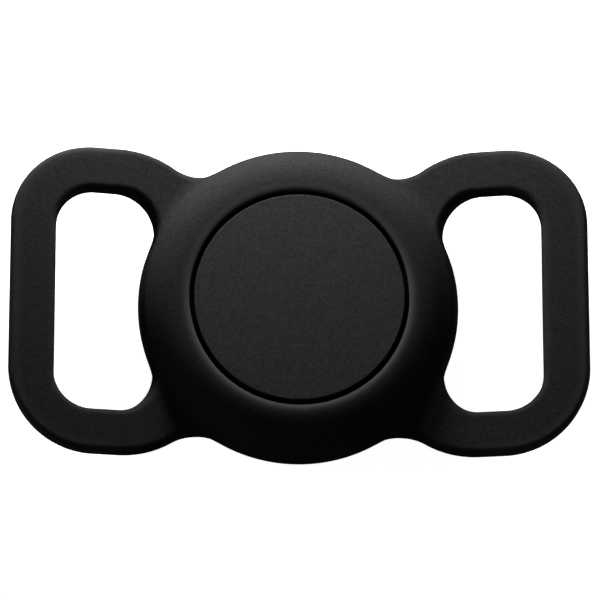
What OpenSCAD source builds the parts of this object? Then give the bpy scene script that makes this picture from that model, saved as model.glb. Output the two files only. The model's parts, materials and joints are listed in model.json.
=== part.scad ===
// Soft strap-mounted holder with a round pocket, and the coin-shaped tracker tag that it carries.
// Millimetres. The part lies on its flat back, face up: +X runs along the strap, +Z leaves the face.
// The origin is the centre of the back face.

/* [Coin cell] */
// Diameter of the coin cell, from which the tag and its holder grow outwards
cell_d = 20; // [19:0.1:23]
// Height of the coin cell
cell_h = 3.2; // [2.5:0.1:4]
// Thickness of the cell's can
can_wall = 0.25; // [0.2:0.01:0.3]
// Width of the ring between the cell's can and its cap
gasket_w = 0.9; // [0.6:0.05:1.2]

/* [Battery cover] */
// Thickness of the cover's plate
cover_plate = 0.6; // [0.5:0.05:0.8]
// Thickness of the cover's turned-down skirt
cover_skirt = 0.4; // [0.3:0.05:0.5]
// Height that the cover stands above the tag's shoulder
cover_stand = 1; // [0.9:0.05:1.1]
// Rounding of the cover's top edge
cover_edge_r = 0.25; // [0.15:0.05:0.35]
// Height of the shoulder above the ledge that the skirt sits on
seat_drop = 0.4; // [0.3:0.05:0.5]
// Width of the cover's liner ring
liner_w = 0.8; // [0.7:0.05:1]
// Gap between the liner and the tray's wall round the cell, seen from above
liner_gap = 0.4; // [0.3:0.05:0.8]
// Diameter of the foam pad that presses on the cell
pad_d = 10; // [8:0.5:14]
// Thickness of the foam pad
pad_t = 0.35; // [0.3:0.05:0.6]
// Thickness of the sealing ring's cord
seal_d = 0.6; // [0.5:0.05:0.65]

/* [Tag] */
// Width of the shell's shoulder outside the tray, seen from above
shoulder_w = 2.4; // [2:0.1:3.5]
// Inset of the flat on the tag's underside
tag_round_w = 6.5; // [5:0.1:8]
// Height of the tag's widest ring above its underside
tag_wide_z = 3.6; // [3.2:0.05:4]
// Wall of the tag's shell
shell_wall = 0.9; // [0.7:0.05:1.1]

/* [Tag inside] */
// Width of the tray's outer ring round the cover
tray_ring_w = 0.9; // [0.7:0.05:1.4]
// Thickness of the tray's walls
tray_wall = 0.75; // [0.6:0.05:0.85]
// Thickness of the tray's floor
tray_floor = 0.5; // [0.4:0.05:0.7]
// Thickness of the tray's top flange
flange_t = 0.8; // [0.7:0.05:1]
// Height of the negative spring under the cell
spring_h = 0.35; // [0.3:0.05:0.5]
// Thickness of the spring contacts' sheet
contact_t = 0.15; // [0.1:0.01:0.2]
// Width of each side contact
contact_w = 3; // [2:0.1:4]
// Inset of the circuit board's edge from the tray's outside
board_inset = 0.6; // [0.2:0.05:1.5]
// Thickness of the circuit board
board_t = 0.6; // [0.5:0.05:0.8]
// Free height under the board for its parts
under_board = 1; // [0.9:0.05:1.2]
// Diameter of the sounder's brass disc
sounder_d = 15; // [13:0.5:18]
// Width of brass left bare round the sounder's ceramic disc
brass_rim_w = 2.5; // [1.5:0.1:3.5]
// Thickness of each of the sounder's two discs
sounder_t = 0.2; // [0.15:0.01:0.25]
// Length of the radio's shield can
shield_l = 6.5; // [5:0.1:7.5]
// Width of the radio's shield can
shield_w = 5.5; // [4:0.1:6]
// Height of the radio's shield can
shield_h = 0.8; // [0.6:0.05:0.85]
// Height of an antenna strip
antenna_h = 2; // [1:0.1:2.4]
// Thickness of an antenna strip
antenna_t = 0.1; // [0.08:0.01:0.15]

/* [Holder body] */
// Soft wall round the pocket at its widest
body_wall = 2.95; // [2.8:0.05:4]
// Soft wall behind the tag
back_wall = 1.2; // [1:0.05:2]
// Inset of the flat back from the body's widest ring
back_round_w = 4; // [3:0.1:6]
// Height of the body's widest ring above the back
body_wide_z = 3.5; // [3.2:0.05:4]
// Gap between the battery cover and the window's lip
window_gap = 0.56; // [0.4:0.02:0.7]
// Width from the window's edge to the crest of the lip
lip_crest_w = 0.75; // [0.5:0.05:1]
// Rounding of the window's edge
lip_edge_r = 0.35; // [0.2:0.05:0.4]

/* [Strap loops] */
// Clear width of a slot from the body's bulge to the rail
slot_w = 10.05; // [9:0.05:14]
// Width of the strap that the slots take
strap_w = 25.4; // [24:0.1:26]
// Room beside the strap
strap_slack = 1.5; // [1:0.1:2.4]
// Width of a loop's outer rail
rail_w = 5.3; // [4.5:0.1:7]
// Inset of the loops' upper and lower edges from the body's
loop_inset = 0.55; // [0.3:0.05:1]
// Thickness of a loop
loop_t = 3.1; // [2.6:0.05:3.4]
// Height of a loop's middle above the body's widest ring, at the flex line
loop_lift = 2.75; // [2.5:0.05:3]
// Angle at which a loop rises towards its outer end
loop_angle = 15; // [5:0.5:18]
// Radius of a loop's outer corners
loop_corner_r = 9.9; // [8:0.1:11]
// Radius of a slot's outer corners
slot_corner_r = 4.5; // [3.5:0.1:5]
// Radius of a slot's inner corners, where the shoulders meet the body
shoulder_r = 4.95; // [4:0.05:5.2]
// Radius of a loop's inner corners, where it turns in towards the body
loop_in_corner_r = 12; // [11:0.1:13]
// Straight run of a loop's outer edge inside the flex line
edge_run = 0.55; // [0.3:0.05:1.5]
// Radius of the notch between a loop and the body
notch_r = 5.75; // [4.5:0.05:7]
// Depth to which the shoulders' round edges sink into the body's widest ring
shoulder_sink = 0.35; // [0.2:0.05:0.6]
// Rounding of a loop's edges
loop_edge_r = 0.65; // [0.4:0.05:0.9]

/* [Fits] */
// Gap between the tag and its pocket
pocket_gap = 0.15; // [0.1:0.01:0.2]
// Gap round the cell and the cover inside the tag
tag_gap = 0.15; // [0.1:0.01:0.2]
// Gap between faces that lie on each other in different moving pieces
rest_gap = 0.1; // [0.05:0.01:0.15]
// Gap between fixed pieces that are pushed into each other
fixed_gap = 0.05; // [0.03:0.01:0.08]
// Gap at the line where a loop flexes
flex_gap = 0.2; // [0.15:0.01:0.3]

/* [Hidden] */

$fn = 96;
// Overrun of a cut past the face that it opens
cut = 1;
// Steps in a quarter of a rounded outline
quarter_steps = 14;

// Heights inside the tag, from its underside
board_z = shell_wall + 2 * sounder_t + under_board;
tray_z = board_z + board_t;
tray_top_z = tray_z + tray_floor;
cell_z = tray_top_z + spring_h;
cell_top_z = cell_z + cell_h;
cover_z = cell_top_z + rest_gap + pad_t;
tag_h = cover_z + cover_plate;
shoulder_z = tag_h - cover_stand;
ledge_z = shoulder_z - seat_drop;

// Radii inside the tag, from the cell outwards
cell_r = cell_d / 2;
cap_r = cell_r - can_wall - gasket_w;
cell_bore_r = cell_r + tag_gap;
tray_wall_r = cell_bore_r + tray_wall;
liner_in_r = tray_wall_r + liner_gap;
liner_out_r = liner_in_r + liner_w;
cover_r = liner_out_r + fixed_gap + cover_skirt;
seat_r = cover_r + tag_gap;
tray_r = seat_r + tray_ring_w;
tag_r = tray_r + shoulder_w;
tag_flat_r = tag_r - tag_round_w;
board_r = tray_r - board_inset;
sounder_r = sounder_d / 2;
ceramic_r = sounder_r - brass_rim_w;
seal_mid_r = (liner_in_r + liner_out_r) / 2;
seal_groove_depth = seal_d / 2;

// The holder round the tag
tag_floor_z = back_wall + pocket_gap;
body_h = tag_floor_z + tag_h;
pocket_r = tag_r + pocket_gap;
body_r = pocket_r + body_wall;
back_flat_r = body_r - back_round_w;
window_r = cover_r + window_gap;
crest_r = window_r + lip_crest_w;
pocket_wide_z = tag_floor_z + tag_wide_z;

// The loops in plan
slot_end_x = body_r + slot_w;
reach = slot_end_x + rail_w;
slot_half = (strap_w + strap_slack) / 2;
loop_half = body_r - loop_inset;
corner_x = reach - loop_corner_r;
slot_corner_x = slot_end_x - slot_corner_r;
shoulder_y = slot_half - shoulder_r;
root_r = body_r - shoulder_sink;
flex_x = sqrt(pow(root_r + shoulder_r, 2) - pow(shoulder_y, 2));
loop_z = body_wide_z + loop_lift;
knuckle_r = loop_t / 2;

// Centre of a loop's inner corner, and of the notch's circle that touches that corner and the body
in_corner = [flex_x - edge_run, loop_half - loop_in_corner_r];
notch_to_body = root_r + notch_r;
notch_to_corner = loop_in_corner_r + notch_r;
notch_along = (pow(norm(in_corner), 2) + pow(notch_to_body, 2) - pow(notch_to_corner, 2))
    / (2 * norm(in_corner));
notch_off = sqrt(pow(notch_to_body, 2) - pow(notch_along, 2));
notch_centre = (notch_along * in_corner + notch_off * [-in_corner[1], in_corner[0]])
    / norm(in_corner);

// Stations along one loop
knuckle_steps = 5;
arm_steps = 2;
corner_steps = 10;
rail_steps = 4;
// Points in a quarter of a loop's rounded section
section_steps = 3;
// The knuckle's rounding stops just short of a sharp edge
knuckle_end_angle = 80;

// Rounded outline of a body of revolution, from the axis below to the axis above
function pebble(flat_r, wide_r, top_r, low_z, wide_z, top_z) = concat(
    [[0, low_z]],
    [for (i = [0:quarter_steps]) let (a = 90 * i / quarter_steps)
        [flat_r + (wide_r - flat_r) * sin(a), wide_z - (wide_z - low_z) * cos(a)]],
    [for (i = [1:quarter_steps]) let (a = 90 * i / quarter_steps)
        [top_r + (wide_r - top_r) * cos(a), wide_z + (top_z - wide_z) * sin(a)]],
    [[0, top_z]]
);

// The tag's outline, grown by a gap on every side
function tag_outline(gap) =
    pebble(tag_flat_r, tag_r + gap, seat_r, -gap, tag_wide_z, shoulder_z + gap);

function along(a, b, s) = a + (b - a) * s;

function angle_of(v) = atan2(v[1], v[0]);

// Points of an arc from one angle to another
function arc(centre, r, from, to) = [for (i = [0:quarter_steps])
    let (a = along(from, to, i / quarter_steps)) centre + r * [cos(a), sin(a)]];

// Height of a loop's middle at a distance from the body's centre
function loop_mid_z(x) = loop_z + (x - flex_x) * tan(loop_angle);

// One station of a loop: the outer point, the inner point and the thickness there
function knuckle_station(i) = let (a = knuckle_end_angle * (1 - i / knuckle_steps))
    [[flex_x - knuckle_r * sin(a), loop_half], [flex_x - knuckle_r * sin(a), slot_half],
        loop_t * cos(a)];

function arm_station(s) =
    [[along(flex_x, corner_x, s), loop_half], [along(flex_x, slot_corner_x, s), slot_half],
        loop_t];

function corner_station(a) =
    [[corner_x + loop_corner_r * sin(a), loop_half - loop_corner_r * (1 - cos(a))],
        [slot_corner_x + slot_corner_r * sin(a), slot_half - slot_corner_r * (1 - cos(a))],
        loop_t];

function rail_station(s) =
    [[reach, along(loop_half - loop_corner_r, 0, s)],
        [slot_end_x, along(slot_half - slot_corner_r, 0, s)], loop_t];

upper_stations = concat(
    [for (i = [0:knuckle_steps]) knuckle_station(i)],
    [for (i = [1:arm_steps]) arm_station(i / arm_steps)],
    [for (i = [1:corner_steps]) corner_station(90 * i / corner_steps)],
    [for (i = [1:rail_steps]) rail_station(i / rail_steps)]
);

function across(station) =
    [[station[0][0], -station[0][1]], [station[1][0], -station[1][1]], station[2]];

loop_stations = concat(
    upper_stations,
    [for (i = [len(upper_stations) - 2:-1:0]) across(upper_stations[i])]
);

// Rounded section between a station's two points
function section_ring(station) = let (
    middle = (station[0] + station[1]) / 2,
    half_w = norm(station[0] - station[1]) / 2,
    toward = (station[0] - station[1]) / (2 * half_w),
    half_t = station[2] / 2,
    r = min(loop_edge_r, half_t)
) [for (k = [0:3], i = [0:section_steps])
    let (
        a = 90 * k + 90 * i / section_steps,
        side = (k == 0 || k == 3) ? 1 : -1,
        rise = k < 2 ? 1 : -1,
        p = middle + toward * (side * (half_w - r) + r * cos(a))
    ) [p[0], p[1], loop_mid_z(max(p[0], flex_x)) + rise * (half_t - r) + r * sin(a)]];

ring_n = 4 * (section_steps + 1);

// Right strap loop as one closed skin
module loop_skin() {
    rings = [for (s = loop_stations) section_ring(s)];
    last = len(rings) - 1;
    points = [for (ring = rings, p = ring) p];
    sides = [for (s = [0:last - 1], i = [0:ring_n - 1])
        let (j = (i + 1) % ring_n, low = s * ring_n, high = (s + 1) * ring_n)
        each [[low + i, low + j, high + j], [low + i, high + j, high + i]]];
    first_cap = [for (i = [1:ring_n - 2]) [0, i + 1, i]];
    last_cap = [for (i = [1:ring_n - 2])
        [last * ring_n, last * ring_n + i, last * ring_n + i + 1]];
    polyhedron(points = points, faces = concat(sides, first_cap, last_cap), convexity = 6);
}

// Plan of the shoulder that carries one arm of a loop, from inside the body to the flex line
module shoulder_plan() {
    corner_end = angle_of(notch_centre - in_corner);
    notch_end = angle_of(-notch_centre);
    difference() {
        polygon(concat(
            [[0, 0], [flex_x, shoulder_y], [flex_x, loop_half]],
            arc(in_corner, loop_in_corner_r, 90, corner_end),
            arc(notch_centre, notch_r, corner_end - 180, notch_end)));
        translate([flex_x, shoulder_y]) circle(r = shoulder_r);
    }
}

// Side view of the slab that the two shoulders of a loop are cut from
module shoulder_slab() {
    start_x = body_r / 2;
    knee_x = max(start_x + cut, flex_x - loop_lift / tan(loop_angle));
    middle = [for (x = [start_x, knee_x, flex_x]) [x, max(body_wide_z, loop_mid_z(x))]];
    rotate([90, 0, 0]) linear_extrude(height = 2 * body_r, center = true) polygon(concat(
        [for (i = [0:2]) middle[i] - [0, knuckle_r]],
        [for (i = [2:-1:0]) middle[i] + [0, knuckle_r]]));
}

module shoulder() {
    difference() {
        intersection() {
            linear_extrude(height = body_h) shoulder_plan();
            shoulder_slab();
        }
        translate([flex_x, 0, loop_z]) rotate([-90, 0, 0])
            cylinder(r = knuckle_r + flex_gap, h = body_r + cut);
    }
}

module pocket() {
    translate([0, 0, tag_floor_z]) rotate_extrude() polygon(tag_outline(pocket_gap));
    translate([0, 0, pocket_wide_z]) cylinder(r = pocket_r, h = body_h);
}

module holder_body() {
    color([0.045, 0.045, 0.048]) difference() {
        union() {
            rotate_extrude()
                polygon(pebble(back_flat_r, body_r, crest_r, 0, body_wide_z, body_h));
            for (side = [0, 1], end = [0, 1]) mirror([side, 0, 0]) mirror([0, end, 0]) shoulder();
        }
        pocket();
    }
}

// The window's lip is the part of the same soft moulding that stretches over the tag
module window_lip() {
    color([0.05, 0.05, 0.053]) rotate_extrude() difference() {
        intersection() {
            polygon(pebble(back_flat_r, body_r, crest_r, 0, body_wide_z, body_h));
            translate([window_r, pocket_wide_z]) square([pocket_r - window_r, body_h]);
        }
        translate([0, tag_floor_z]) polygon(tag_outline(pocket_gap));
        difference() {
            translate([window_r, body_h - lip_edge_r]) square([lip_edge_r, lip_edge_r]);
            translate([window_r + lip_edge_r, body_h - lip_edge_r]) circle(r = lip_edge_r);
        }
    }
}

module right_strap_loop() {
    color([0.045, 0.045, 0.048]) loop_skin();
}

module left_strap_loop() {
    color([0.045, 0.045, 0.048]) mirror([1, 0, 0]) loop_skin();
}

// Puts a piece of the tag where the tag lies in its pocket
module in_tag() {
    translate([0, 0, tag_floor_z]) children();
}

module ring(inner_r, outer_r, low_z, high_z) {
    rotate_extrude() translate([inner_r, low_z]) square([outer_r - inner_r, high_z - low_z]);
}

// Part of a ring, centred on an angle
module arc_ring(inner_r, outer_r, low_z, high_z, middle, span) {
    rotate([0, 0, middle - span / 2]) rotate_extrude(angle = span)
        translate([inner_r, low_z]) square([outer_r - inner_r, high_z - low_z]);
}

module tag_shell() {
    color([0.06, 0.06, 0.065]) in_tag() difference() {
        rotate_extrude() polygon(tag_outline(0));
        rotate_extrude() polygon(pebble(
            tag_flat_r, tag_r - shell_wall, seat_r, shell_wall, tag_wide_z,
            shoulder_z - shell_wall));
        translate([0, 0, tag_wide_z]) cylinder(r = tray_r + fixed_gap, h = tag_h);
    }
}

contact_angles = [140, 220];
contact_span = contact_w / cell_bore_r * 180 / PI;
contact_notch_span = contact_span + 2 * tag_gap / cell_bore_r * 180 / PI;
contact_out_r = cell_bore_r + contact_t;

module tag_tray() {
    color([0.1, 0.1, 0.11]) in_tag() difference() {
        union() {
            cylinder(r = tray_wall_r, h = tray_top_z);
            ring(cell_bore_r, tray_wall_r, tray_z, ledge_z);
            ring(cell_bore_r, tray_r, ledge_z - flange_t, ledge_z);
            intersection() {
                ring(seat_r, tray_r, tray_z, shoulder_z);
                rotate_extrude() polygon(tag_outline(0));
            }
        }
        translate([0, 0, -cut]) cylinder(r = tray_r + cut, h = tray_z + cut);
        ring(liner_in_r, liner_out_r, ledge_z - seal_groove_depth, ledge_z + cut);
        for (a = contact_angles)
            arc_ring(cell_r, contact_out_r + fixed_gap, tray_top_z, ledge_z + cut, a,
                contact_notch_span);
    }
}

antenna_angles = [30, 150, 270];
antenna_span = 84;
antenna_low_z = tray_z + tray_floor;

module antenna_strips() {
    color([0.85, 0.62, 0.3]) in_tag() for (a = antenna_angles)
        arc_ring(tray_r, tray_r + antenna_t, antenna_low_z, antenna_low_z + antenna_h, a,
            antenna_span);
}

module circuit_board() {
    color([0.03, 0.16, 0.08]) in_tag() translate([0, 0, board_z])
        cylinder(r = board_r, h = board_t);
}

// A box that hangs under the board, centred on shares of the board's radius
module under_board_box(x_share, y_share, l, w, h) {
    translate([x_share * board_r - l / 2, y_share * board_r - w / 2, board_z - h])
        cube([l, w, h]);
}

module radio_shield() {
    color([0.7, 0.7, 0.72]) in_tag() under_board_box(-0.45, 0.42, shield_l, shield_w, shield_h);
}

crystal_l = 2;
crystal_w = 1.6;
crystal_h = 0.5;

module crystal() {
    color([0.78, 0.74, 0.6]) in_tag()
        under_board_box(-0.42, -0.05, crystal_l, crystal_w, crystal_h);
}

// Places of the board's chips as shares of its radius, and their sizes as shares of the largest
chip_l = 3;
chip_h = 0.7;
chip_shares = [
    [0.5, 0.4, 1, 1], [0.3, 0.62, 0.7, 0.6], [0.62, -0.12, 0.5, 0.8], [0.42, -0.45, 0.9, 0.6],
    [-0.35, -0.5, 0.6, 0.6], [-0.62, -0.28, 0.35, 0.55]
];
small_l = 1;
small_w = 0.5;
small_h = 0.45;
small_n = 9;
small_r_share = 0.86;

module board_chips() {
    color([0.08, 0.08, 0.08]) in_tag() {
        for (c = chip_shares)
            under_board_box(c[0], c[1], chip_l * c[2], chip_l * c[3], chip_h);
        for (i = [0:small_n - 1]) rotate([0, 0, 360 * i / small_n])
            under_board_box(small_r_share, 0, small_w, small_l, small_h);
    }
}

module sounder_disc() {
    color([0.8, 0.62, 0.28]) in_tag() translate([0, 0, shell_wall])
        cylinder(r = sounder_r, h = sounder_t);
}

module sounder_ceramic() {
    color([0.75, 0.73, 0.68]) in_tag() translate([0, 0, shell_wall + sounder_t])
        cylinder(r = ceramic_r, h = sounder_t);
}

sounder_pin_r = 0.4;

// Two sprung pins between the board and the sounder: one on the brass, one on the ceramic
module sounder_contacts() {
    color([0.85, 0.7, 0.35]) in_tag() {
        translate([(sounder_r + ceramic_r) / 2, 0, shell_wall + sounder_t])
            cylinder(r = sounder_pin_r, h = board_z - shell_wall - sounder_t);
        translate([ceramic_r / 2, 0, shell_wall + 2 * sounder_t])
            cylinder(r = sounder_pin_r, h = under_board);
    }
}

module positive_contacts() {
    color([0.75, 0.73, 0.68]) in_tag() for (a = contact_angles)
        arc_ring(contact_out_r - contact_t, contact_out_r, tray_top_z, ledge_z - flange_t / 2, a,
            contact_span);
}

spring_arm_l = 5;
spring_arm_w = 1.4;
spring_hub_r = 1.6;
spring_arms = 3;
spring_dimple_r = 0.5;

module negative_spring() {
    color([0.78, 0.76, 0.7]) in_tag() translate([0, 0, tray_top_z]) {
        cylinder(r = spring_hub_r, h = contact_t);
        for (i = [0:spring_arms - 1]) rotate([0, 0, 360 * i / spring_arms]) {
            translate([0, -spring_arm_w / 2, 0]) cube([spring_arm_l, spring_arm_w, contact_t]);
            translate([spring_arm_l - spring_arm_w / 2, 0, 0])
                cylinder(r = spring_dimple_r, h = spring_h - fixed_gap);
        }
    }
}

module cover_seal() {
    color([0.12, 0.12, 0.12]) in_tag() rotate_extrude()
        translate([seal_mid_r, ledge_z - seal_groove_depth + seal_d / 2])
            circle(r = seal_d / 2);
}

cap_foot = 0.25;
gasket_h = 0.5;

// The positive can closes over the cell from above
module coin_cell_can() {
    color([0.76, 0.76, 0.75]) in_tag() difference() {
        translate([0, 0, cell_z + cap_foot]) cylinder(r = cell_r, h = cell_h - cap_foot);
        translate([0, 0, cell_z]) cylinder(r = cell_r - can_wall, h = cell_h - can_wall);
    }
}

module coin_cell_gasket() {
    color([0.35, 0.35, 0.36]) in_tag()
        ring(cap_r, cell_r - can_wall, cell_z + cap_foot, cell_z + cap_foot + gasket_h);
}

module coin_cell_cap() {
    color([0.7, 0.7, 0.69]) in_tag() translate([0, 0, cell_z])
        cylinder(r = cap_r, h = cell_h - can_wall - fixed_gap);
}

// Plate with a turned-down skirt and a rounded top edge
module battery_cover() {
    skirt_z = ledge_z + rest_gap;
    color([0.05, 0.05, 0.052]) in_tag() rotate_extrude() difference() {
        translate([0, skirt_z]) square([cover_r, tag_h - skirt_z]);
        translate([0, skirt_z]) square([cover_r - cover_skirt, cover_z - skirt_z]);
        difference() {
            translate([cover_r - cover_edge_r, tag_h - cover_edge_r])
                square([cover_edge_r, cover_edge_r]);
            translate([cover_r - cover_edge_r, tag_h - cover_edge_r]) circle(r = cover_edge_r);
        }
    }
}

module cover_liner() {
    color([0.16, 0.16, 0.17]) in_tag()
        ring(liner_in_r, liner_out_r, ledge_z + seal_d / 2 + rest_gap, cover_z);
}

module foam_pad() {
    color([0.2, 0.2, 0.2]) in_tag() translate([0, 0, cover_z - pad_t])
        cylinder(r = pad_d / 2, h = pad_t);
}

holder_body();
window_lip();
left_strap_loop();
right_strap_loop();
tag_shell();
tag_tray();
antenna_strips();
circuit_board();
radio_shield();
board_chips();
crystal();
sounder_disc();
sounder_ceramic();
sounder_contacts();
positive_contacts();
negative_spring();
cover_seal();
coin_cell_can();
coin_cell_gasket();
coin_cell_cap();
battery_cover();
cover_liner();
foam_pad();
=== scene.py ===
# The strap-mounted holder and the tag in its pocket, dressed in their finishes.
# Lengths are in millimetres until a mesh is made, and metres from there on.
import json
import math

import bmesh
import bpy
import numpy as np
from mathutils import Matrix, Vector


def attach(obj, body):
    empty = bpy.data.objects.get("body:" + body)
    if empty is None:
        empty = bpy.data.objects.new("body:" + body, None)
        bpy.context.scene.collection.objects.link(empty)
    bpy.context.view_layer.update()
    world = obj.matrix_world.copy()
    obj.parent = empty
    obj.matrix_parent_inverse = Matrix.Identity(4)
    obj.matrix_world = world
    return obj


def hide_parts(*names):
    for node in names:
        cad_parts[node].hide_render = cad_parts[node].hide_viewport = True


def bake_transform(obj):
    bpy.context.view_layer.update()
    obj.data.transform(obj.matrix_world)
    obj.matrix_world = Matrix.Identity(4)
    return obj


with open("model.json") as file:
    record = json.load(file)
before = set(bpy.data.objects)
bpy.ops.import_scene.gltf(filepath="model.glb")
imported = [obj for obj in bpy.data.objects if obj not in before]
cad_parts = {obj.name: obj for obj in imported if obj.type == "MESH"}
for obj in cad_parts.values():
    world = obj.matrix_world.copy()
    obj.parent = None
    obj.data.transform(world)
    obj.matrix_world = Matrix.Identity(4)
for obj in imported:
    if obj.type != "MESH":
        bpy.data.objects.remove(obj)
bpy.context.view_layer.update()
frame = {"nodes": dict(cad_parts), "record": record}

MM = 0.001
bpy.context.scene.view_settings.view_transform = "Standard"

# ---------------------------------------------------------------- camera
IMAGE_PX = 600
SENSOR_MM = 36
FOCAL_PX = 3558.3
CAMERA_DISTANCE = 428.0
CAMERA_AZIMUTH = math.radians(-7.0)
CAMERA_ELEVATION = math.radians(76.3)
CAMERA_ROLL = math.radians(0.388)
CLIP_M = (0.01, 20)
# The point 5 mm above the back's centre lies here in the picture
PIVOT = Vector((0, 0, 5.0))
PIVOT_PX = (298.53, 304.69)


def make_camera():
    """A camera at the photograph's angle, with the photograph's frame."""
    view = Vector((
        math.sin(CAMERA_AZIMUTH) * math.cos(CAMERA_ELEVATION),
        -math.cos(CAMERA_AZIMUTH) * math.cos(CAMERA_ELEVATION),
        math.sin(CAMERA_ELEVATION)))
    flat_right = Vector((1, 0, 0))
    flat_right = (flat_right - view * flat_right.dot(view)).normalized()
    flat_up = view.cross(flat_right)
    right = math.cos(CAMERA_ROLL) * flat_right + math.sin(CAMERA_ROLL) * flat_up
    up = math.cos(CAMERA_ROLL) * flat_up - math.sin(CAMERA_ROLL) * flat_right
    px_per_mm = FOCAL_PX / CAMERA_DISTANCE
    half = IMAGE_PX / 2
    aim = (PIVOT + right * ((half - PIVOT_PX[0]) / px_per_mm)
           + up * ((PIVOT_PX[1] - half) / px_per_mm))
    place = (aim + view * CAMERA_DISTANCE) * MM
    camera = bpy.data.objects.new("camera", bpy.data.cameras.new("camera"))
    bpy.context.collection.objects.link(camera)
    camera.data.sensor_width = SENSOR_MM
    camera.data.lens = FOCAL_PX * SENSOR_MM / IMAGE_PX
    camera.data.clip_start, camera.data.clip_end = CLIP_M
    turn = Matrix((right, up, view)).transposed().to_4x4()
    camera.matrix_world = Matrix.Translation(place) @ turn
    bpy.context.scene.camera = camera


make_camera()

# ---------------------------------------------------------------- the soft moulding
# The pocket's body, a pebble with a flat back, and the window in its top
BODY_R = 19.1
BODY_WIDE_Z = 3.5
BODY_H = 9.35
BACK_FLAT_R = 15.1
CREST_R = 13.86
WINDOW_R = 13.11
# The tag in the pocket, with heights from its underside
TAG_FLOOR_Z = 1.35
TAG_R = 16.0
TAG_FLAT_R = 9.5
TAG_WIDE_Z = 3.6
TAG_SEAT_R = 12.7
TAG_SHOULDER_Z = 7.0
POCKET_GAP = 0.15
# The loops in plan
REACH = 34.45
LOOP_HALF = 18.68
LOOP_IN_X = 9.55
LOOP_CORNER_R = 9.9
LOOP_IN_CORNER_R = 12.0
SLOT_HALF = 13.45
SLOT_END_X = 29.15
SLOT_CORNER_R = 4.5
SHOULDER_R = 4.95
NOTCH_R = 5.75
# The loops from the side: level as far as LEVEL_X, then rising outwards
LOOP_T = 3.1
LOOP_Z = 6.25
LOOP_SLOPE = math.tan(math.radians(15))
LEVEL_X = 12.5
# The line that a loop bends about, where its middle lies at the height LOOP_Z
FLEX_X = 22.12
# Rounded edges of the loops, and of the lip on its window side
OUTER_EDGE_R = 0.8
OUTER_BACK_R = 1.1
SLOT_EDGE_R = 0.75
LIP_EDGE_K = 0.3
LIP_CROWN_R = 1.6
# The filled creases above and below an arm: they start at a share of half its thickness from
# its middle, and are full a further share out, so the arm's side walls stay as they are
CREASE_K = 2.2
LEAST_CREASE_K = 0.05
CREASE_FROM = 0.35
CREASE_OVER = 0.75
# Painted highlight: the silicone's colour is made lighter where light glints on its edges. This
# covers the lip down to a depth below its top, where the highlight fades in, and more weakly the
# loops' outer edges
LIP_HIGHLIGHT_W = 0.7
LIP_HIGHLIGHT_DEPTH = 0.7
LIP_HIGHLIGHT_FADE = 0.5
OUTER_HIGHLIGHT_W = 1.7
LOOP_HIGHLIGHT = 0.35
# Cells of the field, and how its surface is settled on it
SKIN_STEP = 0.25
MARGIN_CELLS = 3
SETTLE_ROUNDS = 3
LEAST_SLOPE = 0.2
SLOPE_REACH = 0.02
TINY = 1e-9
TINY_SQUARE = 1e-12


def pebble(r, z, flat_r, wide_r, top_r, low_z, wide_z, top_z):
    """Distance to a flat-backed, flat-topped body of revolution with elliptic sides."""
    above = z > wide_z
    inner = np.where(above, top_r, flat_r)
    half_w = wide_r - inner
    half_h = np.where(above, top_z - wide_z, wide_z - low_z)
    u = np.maximum(r - inner, 0) / half_w
    v = np.abs(z - wide_z) / half_h
    level = np.sqrt(u * u + v * v + TINY_SQUARE)
    slope = np.sqrt((u / half_w) ** 2 + (v / half_h) ** 2) / level + TINY
    return (level - 1) / slope


def body_section(z):
    """Radius of the body at a height."""
    up = np.clip((z - BODY_WIDE_Z) / (BODY_H - BODY_WIDE_Z), 0, 1)
    down = np.clip((BODY_WIDE_Z - z) / BODY_WIDE_Z, 0, 1)
    dome = CREST_R + (BODY_R - CREST_R) * np.sqrt(1 - up ** 2)
    back = BACK_FLAT_R + (BODY_R - BACK_FLAT_R) * np.sqrt(1 - down ** 2)
    return np.where(z > BODY_WIDE_Z, dome, back)


def soft_join(one, other, k):
    """Distance to two shapes together, with the crease between them filled over about k."""
    near = np.maximum(k - np.abs(one - other), 0) / k
    return np.minimum(one, other) - near ** 3 * k / 6


def rounded_box(x, y, half_x, half_y, right_r, left_r):
    """Distance to a rectangle with rounded corners, other ones on its left than on its right."""
    r = np.where(x > 0, right_r, left_r)
    u = np.abs(x) - half_x + r
    v = np.abs(y) - half_y + r
    return (np.minimum(np.maximum(u, v), 0)
            + np.hypot(np.maximum(u, 0), np.maximum(v, 0)) - r)


def slot_plan(x, y, body_r):
    """Distance to a strap slot, whose inner corners are tangent to the body."""
    corner_y = SLOT_HALF - SHOULDER_R
    corner_x = np.sqrt((body_r + SHOULDER_R) ** 2 - corner_y ** 2)
    outer = rounded_box(x - corner_x, y, SLOT_END_X - corner_x, SLOT_HALF,
                        SLOT_CORNER_R, SLOT_CORNER_R)
    dx, dy = x - corner_x, y - corner_y
    in_corner = (dx < 0) & (dy * corner_x > dx * corner_y)
    bulge = body_r - np.hypot(x, y)
    inner = np.where(in_corner, np.hypot(dx, dy) - SHOULDER_R,
                     np.maximum(bulge, y - SLOT_HALF))
    return np.where(x > corner_x, np.maximum(outer, bulge), inner)


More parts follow.
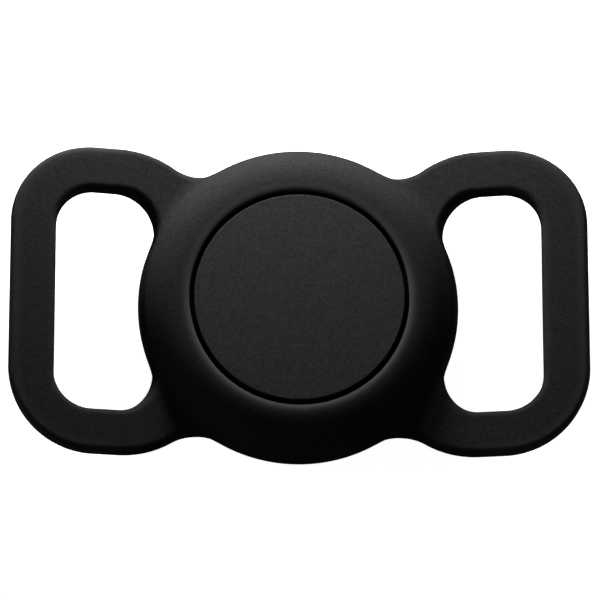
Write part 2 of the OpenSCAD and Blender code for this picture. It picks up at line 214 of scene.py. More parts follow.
def outer_plan(x, y, body_r):
    """Distance to a loop and the body together, with a round notch between them."""
    middle = (LOOP_IN_X + REACH) / 2
    loop = rounded_box(x - middle, y, REACH - middle, LOOP_HALF, LOOP_CORNER_R,
                       LOOP_IN_CORNER_R)
    corner = (LOOP_IN_X + LOOP_IN_CORNER_R, LOOP_HALF - LOOP_IN_CORNER_R)
    reach = math.hypot(*corner)
    to_body = body_r + NOTCH_R
    to_corner = LOOP_IN_CORNER_R + NOTCH_R
    along = (reach ** 2 + to_body ** 2 - to_corner ** 2) / (2 * reach)
    off = np.sqrt(np.maximum(to_body ** 2 - along ** 2, 0))
    notch_x = (corner[0] * along - corner[1] * off) / reach
    notch_y = (corner[1] * along + corner[0] * off) / reach
    px, py = x - notch_x, y - notch_y
    past_body = py * notch_x - px * notch_y < 0
    past_corner = px * (corner[1] - notch_y) - py * (corner[0] - notch_x) > 0
    return np.where(past_body & past_corner, NOTCH_R - np.hypot(px, py),
                    np.minimum(loop, np.hypot(x, y) - body_r))


def skin_distance(x, y, z):
    """Distance to the surface of the whole moulding, less than zero in the silicone."""
    r = np.hypot(x, y)
    body = pebble(r, z, BACK_FLAT_R, BODY_R, CREST_R, 0, BODY_WIDE_Z, BODY_H)
    inset = np.clip(CREST_R - r, 0, CREST_R - WINDOW_R)
    body += np.where(z > BODY_WIDE_Z, inset ** 2 / (2 * LIP_CROWN_R), 0)
    x, y = np.abs(x), np.abs(y)
    middle_z = LOOP_Z + LOOP_SLOPE * (np.maximum(x, LEVEL_X) - FLEX_X)
    half_t = LOOP_T / 2
    section = body_section(np.clip(z, middle_z - half_t, middle_z + half_t))
    outer, slot = outer_plan(x, y, section), -slot_plan(x, y, section)
    outer_r = np.where(z > middle_z, OUTER_EDGE_R, OUTER_BACK_R)
    edge_r = np.where(outer > slot, outer_r, SLOT_EDGE_R)
    u = np.maximum(outer, slot) + edge_r
    v = np.abs(z - middle_z) - half_t + edge_r
    loops = (np.minimum(np.maximum(u, v), 0)
             + np.hypot(np.maximum(u, 0), np.maximum(v, 0)) - edge_r)
    past = np.clip((np.abs(z - middle_z) / half_t - CREASE_FROM) / CREASE_OVER, 0, 1)
    fill = LEAST_CREASE_K + CREASE_K * past * past * (3 - 2 * past)
    solid = soft_join(body, loops, fill)
    tag_z = z - TAG_FLOOR_Z
    pocket = pebble(r, tag_z, TAG_FLAT_R, TAG_R + POCKET_GAP, TAG_SEAT_R, -POCKET_GAP,
                    TAG_WIDE_Z, TAG_SHOULDER_Z + POCKET_GAP)
    window = np.maximum(r - WINDOW_R, TAG_WIDE_Z - tag_z)
    return -soft_join(-solid, np.minimum(pocket, window), LIP_EDGE_K)


def skin_slope(points):
    """Slope of the distance at points."""
    slope = np.zeros_like(points)
    for axis in range(3):
        ahead, behind = points.copy(), points.copy()
        ahead[:, axis] += SLOPE_REACH
        behind[:, axis] -= SLOPE_REACH
        rise = skin_distance(*ahead.T) - skin_distance(*behind.T)
        slope[:, axis] = rise / (2 * SLOPE_REACH)
    return slope


def surface_net(field, origin, step):
    """Quads through the cells in which a field changes sign."""
    inside = field < 0
    cells = tuple(n - 1 for n in field.shape)
    total = np.zeros(cells + (3,))
    count = np.zeros(cells)
    for corner in np.ndindex(2, 2, 2):
        for axis in range(3):
            if corner[axis]:
                continue
            other = tuple(1 if i == axis else corner[i] for i in range(3))
            near = tuple(slice(corner[i], corner[i] + cells[i]) for i in range(3))
            far = tuple(slice(other[i], other[i] + cells[i]) for i in range(3))
            crossed = inside[near] != inside[far]
            share = field[near] / np.where(crossed, field[near] - field[far], 1)
            for i in range(3):
                total[..., i] += np.where(crossed, corner[i] + (share if i == axis else 0), 0)
            count += crossed
    used = count > 0
    index = np.zeros(cells, int)
    index[used] = np.arange(used.sum())
    points = (np.argwhere(used) + total[used] / count[used][:, None]) * step + origin
    quads = []
    for axis in range(3):
        u, v = (axis + 1) % 3, (axis + 2) % 3
        low = tuple(slice(0, -1) if i == axis else slice(None) for i in range(3))
        high = tuple(slice(1, None) if i == axis else slice(None) for i in range(3))
        edges = np.argwhere(inside[low] != inside[high])
        whole = ((edges[:, u] > 0) & (edges[:, v] > 0)
                 & (edges[:, u] < field.shape[u] - 1) & (edges[:, v] < field.shape[v] - 1))
        edges = edges[whole]
        ring = []
        for du, dv in ((1, 1), (0, 1), (0, 0), (1, 0)):
            cell = edges.copy()
            cell[:, u] -= du
            cell[:, v] -= dv
            ring.append(index[tuple(cell.T)])
        quad = np.stack(ring, 1)
        outward = inside[tuple(edges.T)]
        quad[~outward] = quad[~outward][:, ::-1]
        quads.append(quad)
    return points, np.concatenate(quads)


def edge_highlight_share(x, y, z):
    """Share of painted highlight in the silicone's colour: most at the window's edge, less at
    the loops' outer edges.
    """
    past_edge = np.maximum(np.hypot(x, y) - WINDOW_R, 0) / LIP_HIGHLIGHT_W
    near_top = np.clip((z - BODY_H + LIP_HIGHLIGHT_DEPTH) / LIP_HIGHLIGHT_FADE, 0, 1)
    lip = np.exp(-past_edge ** 2) * near_top
    outer = 1 + outer_plan(x, np.abs(y), body_section(z)) / OUTER_HIGHLIGHT_W
    on_loop = np.clip((x - FLEX_X) / LOOP_T + 0.5, 0, 1)
    return np.maximum(lip, LOOP_HIGHLIGHT * on_loop * np.clip(outer, 0, 1))


def half_skin():
    """Right half of the moulding, open along x = 0, with its normals and the share of painted
    highlight at each point.
    """
    step = SKIN_STEP
    margin = MARGIN_CELLS * step
    x = np.arange(-step / 2, REACH + margin, step)
    half_y = max(BODY_R, LOOP_HALF) + margin
    y = np.arange(-half_y, half_y, step)
    z = np.arange(-margin, LOOP_Z + LOOP_SLOPE * (REACH - FLEX_X) + LOOP_T / 2 + margin, step)
    field = skin_distance(*np.meshgrid(x, y, z, indexing="ij"))
    points, quads = surface_net(field, (x[0], y[0], z[0]), step)
    seam = points[:, 0] < step / 4
    for _ in range(SETTLE_ROUNDS):
        slope = skin_slope(points)
        move = skin_distance(*points.T) / np.maximum((slope ** 2).sum(1), LEAST_SLOPE)
        points -= slope * np.clip(move, -step, step)[:, None]
        points[seam, 0] = 0
    normals = skin_slope(points)
    normals[seam, 0] = 0
    normals /= np.linalg.norm(normals, axis=1)[:, None]
    return points, quads, normals, edge_highlight_share(*points.T)


def skin_piece(name, points, quads, normals, painted_highlight, side):
    """One half of the moulding, closed along its seam."""
    flip = np.array([side, 1, 1])
    if side < 0:
        quads = quads[:, ::-1]
    mesh = bpy.data.meshes.new(name)
    mesh.from_pydata((points * flip * MM).tolist(), [], quads.tolist())
    shape = bmesh.new()
    shape.from_mesh(mesh)
    open_edges = [e for e in shape.edges if e.is_boundary]
    cap = bmesh.ops.holes_fill(shape, edges=open_edges, sides=0)["faces"]
    for face in cap:
        face.material_index = 1
        if face.normal.x * side > 0:
            face.normal_flip()
    bmesh.ops.triangulate(shape, faces=cap)
    shape.to_mesh(mesh)
    shape.free()
    # Each point's share of the painted highlight
    mesh.attributes.new("painted_highlight", "FLOAT", "POINT").data.foreach_set("value", painted_highlight)
    cap_index = {p.index for p in mesh.polygons if p.material_index == 1}
    outward = (normals * flip).tolist()
    corners = []
    for polygon in mesh.polygons:
        polygon.use_smooth = True
        in_cap = polygon.index in cap_index
        polygon.material_index = 0
        for corner in polygon.loop_indices:
            vertex = mesh.loops[corner].vertex_index
            corners.append((-side, 0, 0) if in_cap else outward[vertex])
    mesh.normals_split_custom_set(corners)
    piece = bpy.data.objects.new(name, mesh)
    bpy.context.collection.objects.link(piece)
    return piece


# ---------------------------------------------------------------- materials
# The part of a noise's range that most of its surface lies in
NOISE_RANGE = (0.35, 0.65)


class Finish:
    """A procedural material on the object's own coordinates."""

    def __init__(self, name, colour, roughness, metallic=0.0, **sockets):
        self.material = bpy.data.materials.new(name)
        self.material.use_nodes = True
        self.nodes = self.material.node_tree.nodes
        self.links = self.material.node_tree.links
        self.shader = self.nodes["Principled BSDF"]
        self.shader.inputs["Base Color"].default_value = (*colour, 1)
        self.shader.inputs["Roughness"].default_value = roughness
        self.shader.inputs["Metallic"].default_value = metallic
        for socket, value in sockets.items():
            self.shader.inputs[socket.replace("_", " ")].default_value = value
        self.colour = colour
        self.roughness = roughness
        self.place = self.nodes.new("ShaderNodeTexCoord").outputs["Object"]

    def noise(self, size_mm, detail=3.0, stretch=None):
        """Noise with grains of about a size."""
        texture = self.nodes.new("ShaderNodeTexNoise")
        texture.inputs["Scale"].default_value = 1 / (size_mm * MM)
        texture.inputs["Detail"].default_value = detail
        place = self.place
        if stretch:
            mapping = self.nodes.new("ShaderNodeMapping")
            mapping.inputs["Scale"].default_value = stretch
            self.links.new(place, mapping.inputs["Vector"])
            place = mapping.outputs["Vector"]
        self.links.new(place, texture.inputs["Vector"])
        return texture.outputs["Fac"]

    def between(self, factor, low, high):
        """A number that follows a noise from low to high."""
        ramp = self.nodes.new("ShaderNodeMapRange")
        ramp.inputs["From Min"].default_value = NOISE_RANGE[0]
        ramp.inputs["From Max"].default_value = NOISE_RANGE[1]
        ramp.inputs["To Min"].default_value = low
        ramp.inputs["To Max"].default_value = high
        self.links.new(factor, ramp.inputs["Value"])
        return ramp.outputs["Result"]

    def mottle(self, factor, spread):
        """The base colour, darker and lighter by a share."""
        mix = self.nodes.new("ShaderNodeMix")
        mix.data_type = "RGBA"
        mix.inputs["A"].default_value = (*[c * (1 - spread) for c in self.colour], 1)
        mix.inputs["B"].default_value = (*[c * (1 + spread) for c in self.colour], 1)
        self.links.new(self.between(factor, 0, 1), mix.inputs["Factor"])
        self.links.new(mix.outputs["Result"], self.shader.inputs["Base Color"])
        return self

    def painted_highlight(self, attribute, share):
        """A painted highlight: the base colour, lighter by a share where a mesh attribute is 1.
        """
        highlight_mask = self.nodes.new("ShaderNodeAttribute")
        highlight_mask.attribute_name = attribute
        mix = self.nodes.new("ShaderNodeMix")
        mix.data_type = "RGBA"
        self.links.new(self.shader.inputs["Base Color"].links[0].from_socket, mix.inputs["A"])
        mix.inputs["B"].default_value = (*[c * (1 + share) for c in self.colour], 1)
        self.links.new(highlight_mask.outputs["Fac"], mix.inputs["Factor"])
        self.links.new(mix.outputs["Result"], self.shader.inputs["Base Color"])
        return self

    def vary_roughness(self, factor, spread):
        """The roughness, less and more by a number."""
        result = self.between(factor, self.roughness - spread, self.roughness + spread)
        self.links.new(result, self.shader.inputs["Roughness"])
        return self

    def bump(self, factor, depth_mm):
        """Raises the grains of a noise by a depth."""
        bump = self.nodes.new("ShaderNodeBump")
        bump.inputs["Distance"].default_value = depth_mm * MM
        bump.inputs["Strength"].default_value = 1.0
        self.links.new(factor, bump.inputs["Height"])
        self.links.new(bump.outputs["Normal"], self.shader.inputs["Normal"])
        return self


def silicone():
    finish = Finish("matt silicone", (0.0182, 0.0182, 0.0185), 0.7, Specular_IOR_Level=0.0)
    grain = finish.noise(0.22)
    finish.mottle(finish.noise(0.3, 4), 0.2)
    # Painted highlight along the lip and the loops' outer edges: a lighter colour that stands in
    # for glints
    finish.painted_highlight("painted_highlight", 1.9)
    finish.vary_roughness(finish.noise(2.5), 0.05)
    return finish.bump(grain, 0.012).material


def cover_coating():
    finish = Finish("fine matt coating", (0.0305, 0.0305, 0.031), 0.65, Specular_IOR_Level=0.0)
    finish.mottle(finish.noise(0.25, 4), 0.22)
    finish.vary_roughness(finish.noise(1.8), 0.05)
    return finish.bump(finish.noise(0.2), 0.01).material


def moulded(name, colour, roughness, specular=0.4):
    finish = Finish(name, colour, roughness, Specular_IOR_Level=specular)
    finish.mottle(finish.noise(0.5), 0.12)
    finish.vary_roughness(finish.noise(1.2), 0.06)
    return finish.bump(finish.noise(0.3), 0.006).material


def metal(name, colour, roughness, stretch=(1, 1, 1)):
    finish = Finish(name, colour, roughness, 1.0)
    finish.mottle(finish.noise(0.8), 0.06)
    finish.vary_roughness(finish.noise(0.25, 5, stretch), 0.04)
    return finish.bump(finish.noise(0.15, 4, stretch), 0.001).material


FINISHES = {
    "silicone": silicone(),
    "cover_black": cover_coating(),
    "shell_plastic": moulded("satin shell plastic", (0.02, 0.02, 0.021), 0.5, 0.08),
    # Painted shade: the tray's colour is near black, far darker than its plastic, so the groove
    # round the cover where the tray shows reads black
    "tray_plastic": moulded("tray plastic darkened as groove shade", (0.0025, 0.0025, 0.0027), 0.6, 0.0),
    "antenna_metal": metal("plated strip", (0.72, 0.5, 0.24), 0.35),
    "board": moulded("green solder mask", (0.02, 0.1, 0.05), 0.3),
    "shield_metal": metal("tinned sheet", (0.62, 0.62, 0.63), 0.4),
    "chip_resin": moulded("chip resin", (0.03, 0.03, 0.03), 0.55),
    "crystal_can": metal("plated lid", (0.7, 0.67, 0.58), 0.3),
    "sounder_brass": metal("rolled brass", (0.72, 0.53, 0.24), 0.35, (1, 8, 1)),
    "ceramic": moulded("silvered ceramic", (0.62, 0.6, 0.56), 0.4),
    "contact_metal": metal("gold-flashed spring sheet", (0.74, 0.62, 0.36), 0.3),
    "cell_steel": metal("nickel-plated steel", (0.6, 0.6, 0.59), 0.28, (1, 6, 1)),
    "gasket_plastic": moulded("gasket plastic", (0.12, 0.12, 0.12), 0.5),
    "seal_rubber": moulded("seal rubber", (0.03, 0.03, 0.03), 0.6),
    "foam": moulded("closed-cell foam", (0.05, 0.05, 0.05), 0.85),
}
SLOTS = {row["node"]: row["material_slot"] for row in frame["record"]["subparts"]}


def dress(piece, slot):
    """Gives a new piece the finish of a slot."""
    piece.data.materials.clear()
    piece.data.materials.append(FINISHES[slot])
    return piece


half = half_skin()
for side, name in ((-1, "left"), (1, "right")):
    skin = dress(skin_piece(f"silicone_{name}_half", *half, side), "silicone")
    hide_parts("holder_body", "window_lip", f"{name}_strap_loop")
    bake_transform(skin)


# ---------------------------------------------------------------- turned and repeated pieces
# Heights are from the tag's underside
CELL_R = 10.0
CAN_WALL = 0.25
CAP_R = 8.85
CAP_CLEARANCE = 0.05
CELL_Z = 3.75
CELL_TOP_Z = 6.95
CELL_FOOT = 0.25
GASKET_H = 0.5
LEDGE_Z = 6.6
TRAY_TOP_Z = 3.4
COVER_R = 12.55
COVER_SKIRT = 0.4
COVER_PLATE = 0.6
COVER_FOOT_Z = 6.7
TAG_H = 8.0
COVER_Z = TAG_H - COVER_PLATE
SHELL_WALL = 0.9
SHELL_OPENING_R = 13.65
LINER_R = (11.3, 12.1)
LINER_Z = 7.0
PAD_R = 5.0
PAD_Z = 7.05
SEAL_MID_R = 11.7
SEAL_R = 0.3

# Radius of the circle that an outline is carried round, and the steps of the rounding
TURN_R = 10.0
TURN_STEPS = 160
ROUND_STEPS = 6
ARC_STEPS = 30
HUB_STEPS = 48
SHARP_ANGLE = math.radians(32)
# An arm of the contact spring: where it starts in the hub, as a share of the hub's radius,
# where it turns up and where it touches the cell, as shares of its length with the rounding
# there, and how many sheets its tip turns down
ARM_ROOT = 0.6
ARM_FOOT, ARM_FOOT_R = 0.45, 2.0
ARM_TOUCH, ARM_TOUCH_R = 0.86, 0.6
ARM_TIP_DROP = 0.7


class Number:
    """A number in a node tree, whose sums and products become math nodes."""

    def __init__(self, tree, socket):
        self.tree = tree
        self.socket = socket

    def math(self, operation, *others):
        node = self.tree.nodes.new("ShaderNodeMath")
        node.operation = operation
        for socket, item in zip(node.inputs, (self, *others)):
            if isinstance(item, Number):
                self.tree.links.new(item.socket, socket)
            else:
                socket.default_value = item
        return Number(self.tree, node.outputs[0])

    def __add__(self, other):
        return self.math("ADD", other)

    def __sub__(self, other):
        return self.math("SUBTRACT", other)

    def __mul__(self, other):
        return self.math("MULTIPLY", other)

    def __truediv__(self, other):
        return self.math("DIVIDE", other)


class Tree:
    """A geometry node tree with named sizes in millimetres, and one finish."""

    def __init__(self, name, sizes):
        self.tree = bpy.data.node_groups.new(name, "GeometryNodeTree")
        interface = self.tree.interface
        interface.new_socket("Mesh", in_out="OUTPUT", socket_type="NodeSocketGeometry")
        self.inputs = {size: interface.new_socket(
            size, in_out="INPUT", socket_type="NodeSocketFloat").identifier for size in sizes}
        self.inputs["Finish"] = interface.new_socket(
            "Finish", in_out="INPUT", socket_type="NodeSocketMaterial").identifier
        self.source = self.tree.nodes.new("NodeGroupInput")

    def feed(self, socket, value):
        if isinstance(value, Number):
            value = value.socket
        if isinstance(value, bpy.types.NodeSocket):
            self.tree.links.new(value, socket)
        else:
            socket.default_value = value

    def node(self, kind, inputs=None, **options):
        node = self.tree.nodes.new(kind)
        for option, value in options.items():
            setattr(node, option, value)
        for socket, value in (inputs or {}).items():
            self.feed(node.inputs[socket], value)
        return node

    def size(self, name):
        return Number(self.tree, self.source.outputs[name])

    def index(self):
        return Number(self.tree, self.node("GeometryNodeInputIndex").outputs[0])

    def place(self, x, y=0, z=0):
        return self.node("ShaderNodeCombineXYZ", {"X": x, "Y": y, "Z": z}).outputs[0]

    def by_index(self, kind, values):
        """A value for each point, by its number."""
        switch = self.node("GeometryNodeIndexSwitch", {"Index": self.index()}, data_type=kind)
        for _ in values[2:]:
            switch.index_switch_items.new()
        for socket, value in zip(switch.inputs[1:], values):
            self.feed(socket, value)
        return switch.outputs[0]

    def line(self, count, place, closed=False):
        """A line through points whose places are given by their number."""
        points = self.node("GeometryNodePoints", {"Count": count, "Position": place})
        curve = self.node("GeometryNodePointsToCurves", {"Points": points.outputs[0]})
        return self.node("GeometryNodeSetSplineCyclic", {
            "Geometry": curve.outputs[0], "Cyclic": closed}).outputs[0]

    def cornered(self, corners, closed=False):
        """A line through corners, each with its place and its rounding."""
        line = self.line(len(corners), self.by_index("VECTOR", [c[0] for c in corners]), closed)
        rounding = self.by_index("FLOAT", [c[1] for c in corners])
        return self.node("GeometryNodeFilletCurve", {
            "Curve": line, "Count": ROUND_STEPS, "Limit Radius": True, "Radius": rounding},
            mode="POLY").outputs[0]

    def on_outline(self, radius, height):
        """A point of an outline that is to be turned."""
        if isinstance(radius, Number):
            radius = radius - TURN_R
        else:
            radius -= TURN_R
        return self.place(radius, height * -1)

    def turn(self, outline):
        """Carries an outline, closed or from axis to axis, round the tag's axis."""
        circle = self.node("GeometryNodeCurvePrimitiveCircle",
                           {"Resolution": TURN_STEPS, "Radius": TURN_R})
        swept = self.node("GeometryNodeCurveToMesh", {
            "Curve": circle.outputs[0], "Profile Curve": outline})
        closed = self.node("GeometryNodeMergeByDistance", {
            "Geometry": swept.outputs[0], "Distance": MM})
        return self.node("GeometryNodeFlipFaces", {"Mesh": closed.outputs[0]}).outputs[0]

    def end(self, shape):
        """Puts the shape where the tag lies, in metres, with its edges crisp and its finish."""
        placed = self.node("GeometryNodeTransform", {
            "Geometry": shape, "Translation": (0, 0, TAG_FLOOR_Z * MM), "Scale": (MM, MM, MM)})
        real = self.node("GeometryNodeRealizeInstances", {"Geometry": placed.outputs[0]})
        smooth = self.node("GeometryNodeSetShadeSmooth", {"Geometry": real.outputs[0]})
        angle = self.node("GeometryNodeInputMeshEdgeAngle").outputs["Unsigned Angle"]
        sharp = self.node("FunctionNodeCompare", {"A": angle, "B": SHARP_ANGLE},
                          operation="GREATER_THAN")
        crisp = self.node("GeometryNodeSetShadeSmooth", {
            "Geometry": smooth.outputs[0], "Selection": sharp.outputs[0],
            "Shade Smooth": False}, domain="EDGE")
        dressed = self.node("GeometryNodeSetMaterial", {
            "Geometry": crisp.outputs[0], "Material": self.source.outputs["Finish"]})
        self.tree.links.new(dressed.outputs[0], self.node("NodeGroupOutput").inputs[0])
        return self


def ring_tree():
    """A ring with rounded corners, or a disc where its inner radius is nought."""
    tree = Tree("turned ring", ("Inner radius", "Outer radius", "Bottom", "Top", "Rounding"))
    inner, outer, bottom, top, rounding = [
        tree.size(n) for n in ("Inner radius", "Outer radius", "Bottom", "Top", "Rounding")]
    inner_rounding = rounding.math("MINIMUM", inner)
    return tree.end(tree.turn(tree.cornered([
        (tree.on_outline(inner, bottom), inner_rounding),
        (tree.on_outline(outer, bottom), rounding),
        (tree.on_outline(outer, top), rounding),
        (tree.on_outline(inner, top), inner_rounding)], inner.math("GREATER_THAN", 0.0))))


def lid_tree():
    """A plate with a turned-down skirt."""
    tree = Tree("turned lid", ("Radius", "Skirt", "Plate", "Foot", "Top", "Edge rounding",
                               "Foot rounding"))
    radius, top, foot = tree.size("Radius"), tree.size("Top"), tree.size("Foot")
    bore = radius - tree.size("Skirt")
    under = top - tree.size("Plate")
    return tree.end(tree.turn(tree.cornered([
        (tree.on_outline(0, under), 0.0), (tree.on_outline(bore, under), 0.0),
        (tree.on_outline(bore, foot), 0.0),
        (tree.on_outline(radius, foot), tree.size("Foot rounding")),
        (tree.on_outline(radius, top), tree.size("Edge rounding")),
        (tree.on_outline(0, top), 0.0)])))


def shell_tree():
    """The tag's shell: two elliptic quarters outside, the same inside, and an opening on top."""
    tree = Tree("turned shell", ("Flat radius", "Widest radius", "Shoulder radius", "Opening",
                                 "Widest height", "Shoulder height", "Wall"))
    seat, opening = tree.size("Shoulder radius"), tree.size("Opening")
    widest_z, wall = tree.size("Widest height"), tree.size("Wall")
    index = tree.index()
    inside = index.math("GREATER_THAN", ARC_STEPS + 0.5)
    outside = inside.math("SUBTRACT", 1.0).math("ABSOLUTE")
    step = index * outside + (index * -1 + (2 * ARC_STEPS + 1)) * inside
    depth = inside * wall
    widest = tree.size("Widest radius") - depth
    turn = ((opening - seat) / (widest - seat)).math("ARCCOSINE") + math.pi / 2
    angle = (step - 1.0).math("MAXIMUM", 0.0) * turn / (ARC_STEPS - 1.0)
    above = angle.math("GREATER_THAN", math.pi / 2)
    below = above.math("SUBTRACT", 1.0).math("ABSOLUTE")
    base = tree.size("Flat radius") * below + seat * above
    rise = (widest_z - depth) * below + (tree.size("Shoulder height") - depth - widest_z) * above
    off_axis = step.math("GREATER_THAN", 0.5)
    radius = (base + (widest - base) * angle.math("SINE")) * off_axis
    height = widest_z - rise * angle.math("COSINE")
    return tree.end(tree.turn(tree.line(2 * ARC_STEPS + 2, tree.on_outline(radius, height))))


def spring_tree():
    """A flat hub with arms that bend up to the cell, one after another round it."""
    tree = Tree("contact spring", ("Arms", "Arm length", "Arm width", "Sheet", "Hub radius",
                                   "Height", "Foot"))
    sheet, length, rise = tree.size("Sheet"), tree.size("Arm length"), tree.size("Height")
    low = sheet * 0.5
    high = rise - sheet * 0.5
    path = tree.cornered([
        (tree.place(tree.size("Hub radius") * ARM_ROOT, 0, low), 0.0),
        (tree.place(length * ARM_FOOT, 0, low), ARM_FOOT_R),
        (tree.place(length * ARM_TOUCH, 0, high), ARM_TOUCH_R),
        (tree.place(length, 0, high - sheet * ARM_TIP_DROP), 0.0)])
    level = tree.node("GeometryNodeSetCurveNormal", {"Curve": path}, mode="Z_UP")
    strip = tree.node("GeometryNodeCurvePrimitiveQuadrilateral",
                      {"Width": tree.size("Arm width"), "Height": sheet})
    arm = tree.node("GeometryNodeCurveToMesh", {
        "Curve": level.outputs[0], "Profile Curve": strip.outputs[0], "Fill Caps": True})
    round_it = tree.index() * (2 * math.pi) / tree.size("Arms")
    centres = tree.node("GeometryNodePoints", {"Count": tree.size("Arms")})
    arms = tree.node("GeometryNodeInstanceOnPoints", {
        "Points": centres.outputs[0], "Instance": arm.outputs[0],
        "Rotation": tree.place(0, 0, round_it)})
    hub = tree.node("GeometryNodeMeshCylinder", {
        "Vertices": HUB_STEPS, "Radius": tree.size("Hub radius"), "Depth": sheet})
    seated = tree.node("GeometryNodeTransform", {
        "Geometry": hub.outputs[0], "Translation": tree.place(0, 0, low)})
    real = tree.node("GeometryNodeRealizeInstances", {"Geometry": arms.outputs[0]})
    whole = tree.node("GeometryNodeMeshBoolean", operation="UNION", solver="EXACT")
    tree.tree.links.new(seated.outputs[0], whole.inputs["Mesh 2"])
    tree.tree.links.new(real.outputs[0], whole.inputs["Mesh 2"])
    raised = tree.node("GeometryNodeTransform", {
        "Geometry": whole.outputs[0], "Translation": tree.place(0, 0, tree.size("Foot"))})
    return tree.end(raised.outputs[0])


def grown(node, name, tree, sizes):
    """Makes a piece from a tree and its sizes, in place of a CAD node."""
    piece = bpy.data.objects.new(name, bpy.data.meshes.new(name))
    bpy.context.collection.objects.link(piece)
    shape = piece.modifiers.new("shape", "NODES")
    shape.node_group = tree.tree
    for size, value in sizes.items():
        shape[tree.inputs[size]] = float(value)
    shape[tree.inputs["Finish"]] = FINISHES[SLOTS[node]]
    even = piece.modifiers.new("even shading", "WEIGHTED_NORMAL")
    even.keep_sharp = True
    even.weight = 100
    evaluated = piece.evaluated_get(bpy.context.evaluated_depsgraph_get())
    mesh = bpy.data.meshes.new_from_object(evaluated)
    piece.modifiers.clear()
    piece.data = mesh
    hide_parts(node)
    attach(piece, BODIES[node])


def ring(inner, outer, bottom, top, rounding):
    return {"Inner radius": inner, "Outer radius": outer, "Bottom": bottom, "Top": top,
            "Rounding": rounding}


BODIES = {node: body for body, nodes in frame["record"]["behaviour"]["bodies"].items()
          for node in nodes}
rings, lids = ring_tree(), lid_tree()
for node, name, tree, sizes in (
        ("battery_cover", "battery_cover_lid", lids, {
            "Radius": COVER_R, "Skirt": COVER_SKIRT, "Plate": COVER_PLATE,
            "Foot": COVER_FOOT_Z, "Top": TAG_H, "Edge rounding": 0.1,
            "Foot rounding": 0.08}),
        ("coin_cell_can", "coin_cell_can_pressing", lids, {
            "Radius": CELL_R, "Skirt": CAN_WALL, "Plate": CAN_WALL,
            "Foot": CELL_Z + CELL_FOOT, "Top": CELL_TOP_Z, "Edge rounding": 0.4,
            "Foot rounding": 0.12}),
        ("coin_cell_cap", "coin_cell_cap_pressing", rings, ring(
            0, CAP_R, CELL_Z, CELL_TOP_Z - CAN_WALL - CAP_CLEARANCE, 0.3)),
        ("coin_cell_gasket", "coin_cell_gasket_ring", rings, ring(
            CAP_R, CELL_R - CAN_WALL, CELL_Z + CELL_FOOT, CELL_Z + CELL_FOOT + GASKET_H, 0.1)),
        ("cover_seal", "cover_seal_cord", rings, ring(
            SEAL_MID_R - SEAL_R, SEAL_MID_R + SEAL_R, LEDGE_Z - SEAL_R, LEDGE_Z + SEAL_R,
            SEAL_R)),
        ("cover_liner", "cover_liner_ring", rings, ring(*LINER_R, LINER_Z, COVER_Z, 0.08)),
        ("foam_pad", "foam_pad_disc", rings, ring(0, PAD_R, PAD_Z, COVER_Z, 0.1)),
        ("tag_shell", "tag_shell_bowl", shell_tree(), {
            "Flat radius": TAG_FLAT_R, "Widest radius": TAG_R, "Shoulder radius": TAG_SEAT_R,
            "Opening": SHELL_OPENING_R, "Widest height": TAG_WIDE_Z,
            "Shoulder height": TAG_SHOULDER_Z, "Wall": SHELL_WALL}),
        ("negative_spring", "negative_spring_star", spring_tree(), {
            "Arms": 3, "Arm length": 5, "Arm width": 1.4, "Sheet": 0.15, "Hub radius": 1.6,
            "Height": 0.3, "Foot": TRAY_TOP_Z})):
    grown(node, name, tree, sizes)

for node, piece in frame["nodes"].items():
    if not piece.hide_render:
        for row in piece.material_slots:
            row.material = FINISHES[SLOTS[node]]

# ---------------------------------------------------------------- floor, light
FLOOR_HALF_M = 1.5
FLOOR_DROP_M = 0.0002
FLOOR_TONE = 0.25
FLOOR_TONE_SEEN = 0.8
FLOOR_GLOW_SEEN = 0.96
WORLD_FILL = 0.045
LAMP_AIM_MM = (0, 0, 5)
# Name, azimuth and elevation in degrees, distance and size in mm, and watts
LAMPS = (
    ("near light", 100, 14, 70, (20, 25), 0.066),
    ("low light", 100, 14, 100, (20, 25), 0.127),
    ("upper light", 85, 27, 100, (20, 25), 0.042),
    ("left light", 180, 12, 300, (100, 60), 0.13),
    ("right light", 0, 4, 300, (100, 60), 0.1),
    ("front light", 270, 4, 300, (100, 60), 0.03))


def seen_directly(tree):
    """1 for rays from the camera, in gloss and through glass, and 0 for soft light."""
    path = tree.nodes.new("ShaderNodeLightPath")
    total = path.outputs["Is Camera Ray"]
    for ray in ("Is Glossy Ray", "Is Transmission Ray"):
        either = tree.nodes.new("ShaderNodeMath")
        either.operation = "MAXIMUM"
        tree.links.new(total, either.inputs[0])
        tree.links.new(path.outputs[ray], either.inputs[1])
        total = either.outputs[0]
    return total


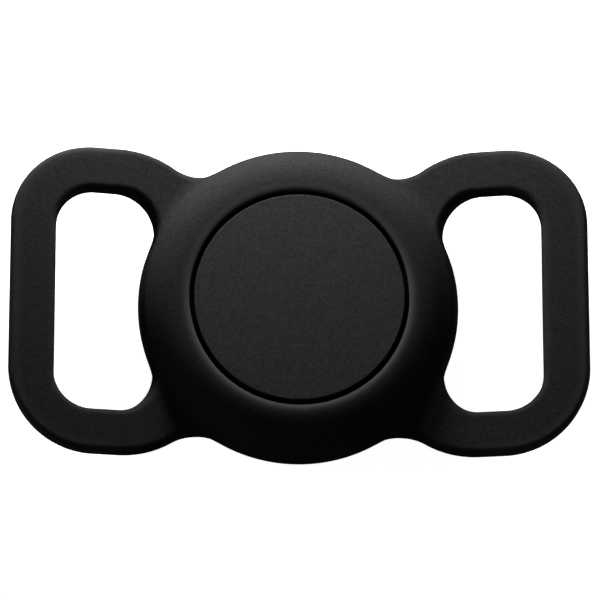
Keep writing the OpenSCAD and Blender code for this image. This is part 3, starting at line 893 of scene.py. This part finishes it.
def make_floor():
    size = FLOOR_HALF_M
    mesh = bpy.data.meshes.new("floor")
    mesh.from_pydata([(-size, -size, 0), (size, -size, 0), (size, size, 0), (-size, size, 0)],
                     [], [(0, 1, 2, 3)])
    floor = bpy.data.objects.new("floor", mesh)
    bpy.context.collection.objects.link(floor)
    floor.location.z = -FLOOR_DROP_M
    material = bpy.data.materials.new("floor paper")
    material.use_nodes = True
    tree = material.node_tree
    tone = tree.nodes.new("ShaderNodeMix")
    tone.data_type = "RGBA"
    tone.inputs["A"].default_value = (*[FLOOR_TONE] * 3, 1)
    tone.inputs["B"].default_value = (*[FLOOR_TONE_SEEN] * 3, 1)
    tree.links.new(seen_directly(tree), tone.inputs["Factor"])
    paper = tree.nodes["Principled BSDF"]
    tree.links.new(tone.outputs["Result"], paper.inputs["Base Color"])
    paper.inputs["Roughness"].default_value = 1
    paper.inputs["Specular IOR Level"].default_value = 0
    glow = tree.nodes.new("ShaderNodeEmission")
    glow.inputs["Strength"].default_value = FLOOR_GLOW_SEEN
    add = tree.nodes.new("ShaderNodeAddShader")
    mix = tree.nodes.new("ShaderNodeMixShader")
    tree.links.new(paper.outputs[0], add.inputs[0])
    tree.links.new(glow.outputs[0], add.inputs[1])
    tree.links.new(seen_directly(tree), mix.inputs["Fac"])
    tree.links.new(paper.outputs[0], mix.inputs[1])
    tree.links.new(add.outputs[0], mix.inputs[2])
    tree.links.new(mix.outputs[0], tree.nodes["Material Output"].inputs["Surface"])
    mesh.materials.append(material)


def make_world():
    world = bpy.data.worlds.new("studio")
    bpy.context.scene.world = world
    world.use_nodes = True
    tree = world.node_tree
    dim = tree.nodes["Background"]
    dim.inputs["Color"].default_value = (1, 1, 1, 1)
    dim.inputs["Strength"].default_value = WORLD_FILL
    white = tree.nodes.new("ShaderNodeBackground")
    white.inputs["Color"].default_value = (1, 1, 1, 1)
    mix = tree.nodes.new("ShaderNodeMixShader")
    tree.links.new(seen_directly(tree), mix.inputs["Fac"])
    tree.links.new(dim.outputs[0], mix.inputs[1])
    tree.links.new(white.outputs[0], mix.inputs[2])
    tree.links.new(mix.outputs[0], tree.nodes["World Output"].inputs["Surface"])


def area_light(name, azimuth, elevation, distance_mm, size_mm, watts):
    lamp = bpy.data.lights.new(name, "AREA")
    lamp.shape = "RECTANGLE"
    lamp.size, lamp.size_y = [side_mm * MM for side_mm in size_mm]
    lamp.energy = watts
    light = bpy.data.objects.new(name, lamp)
    bpy.context.collection.objects.link(light)
    around, up = math.radians(azimuth), math.radians(elevation)
    out = Vector((math.cos(around) * math.cos(up), math.sin(around) * math.cos(up),
                  math.sin(up)))
    light.location = (Vector(LAMP_AIM_MM) + out * distance_mm) * MM
    light.rotation_euler = (-out).to_track_quat("-Z", "Y").to_euler()
    light.visible_camera = False


make_floor()
make_world()
for row in LAMPS:
    area_light(*row)
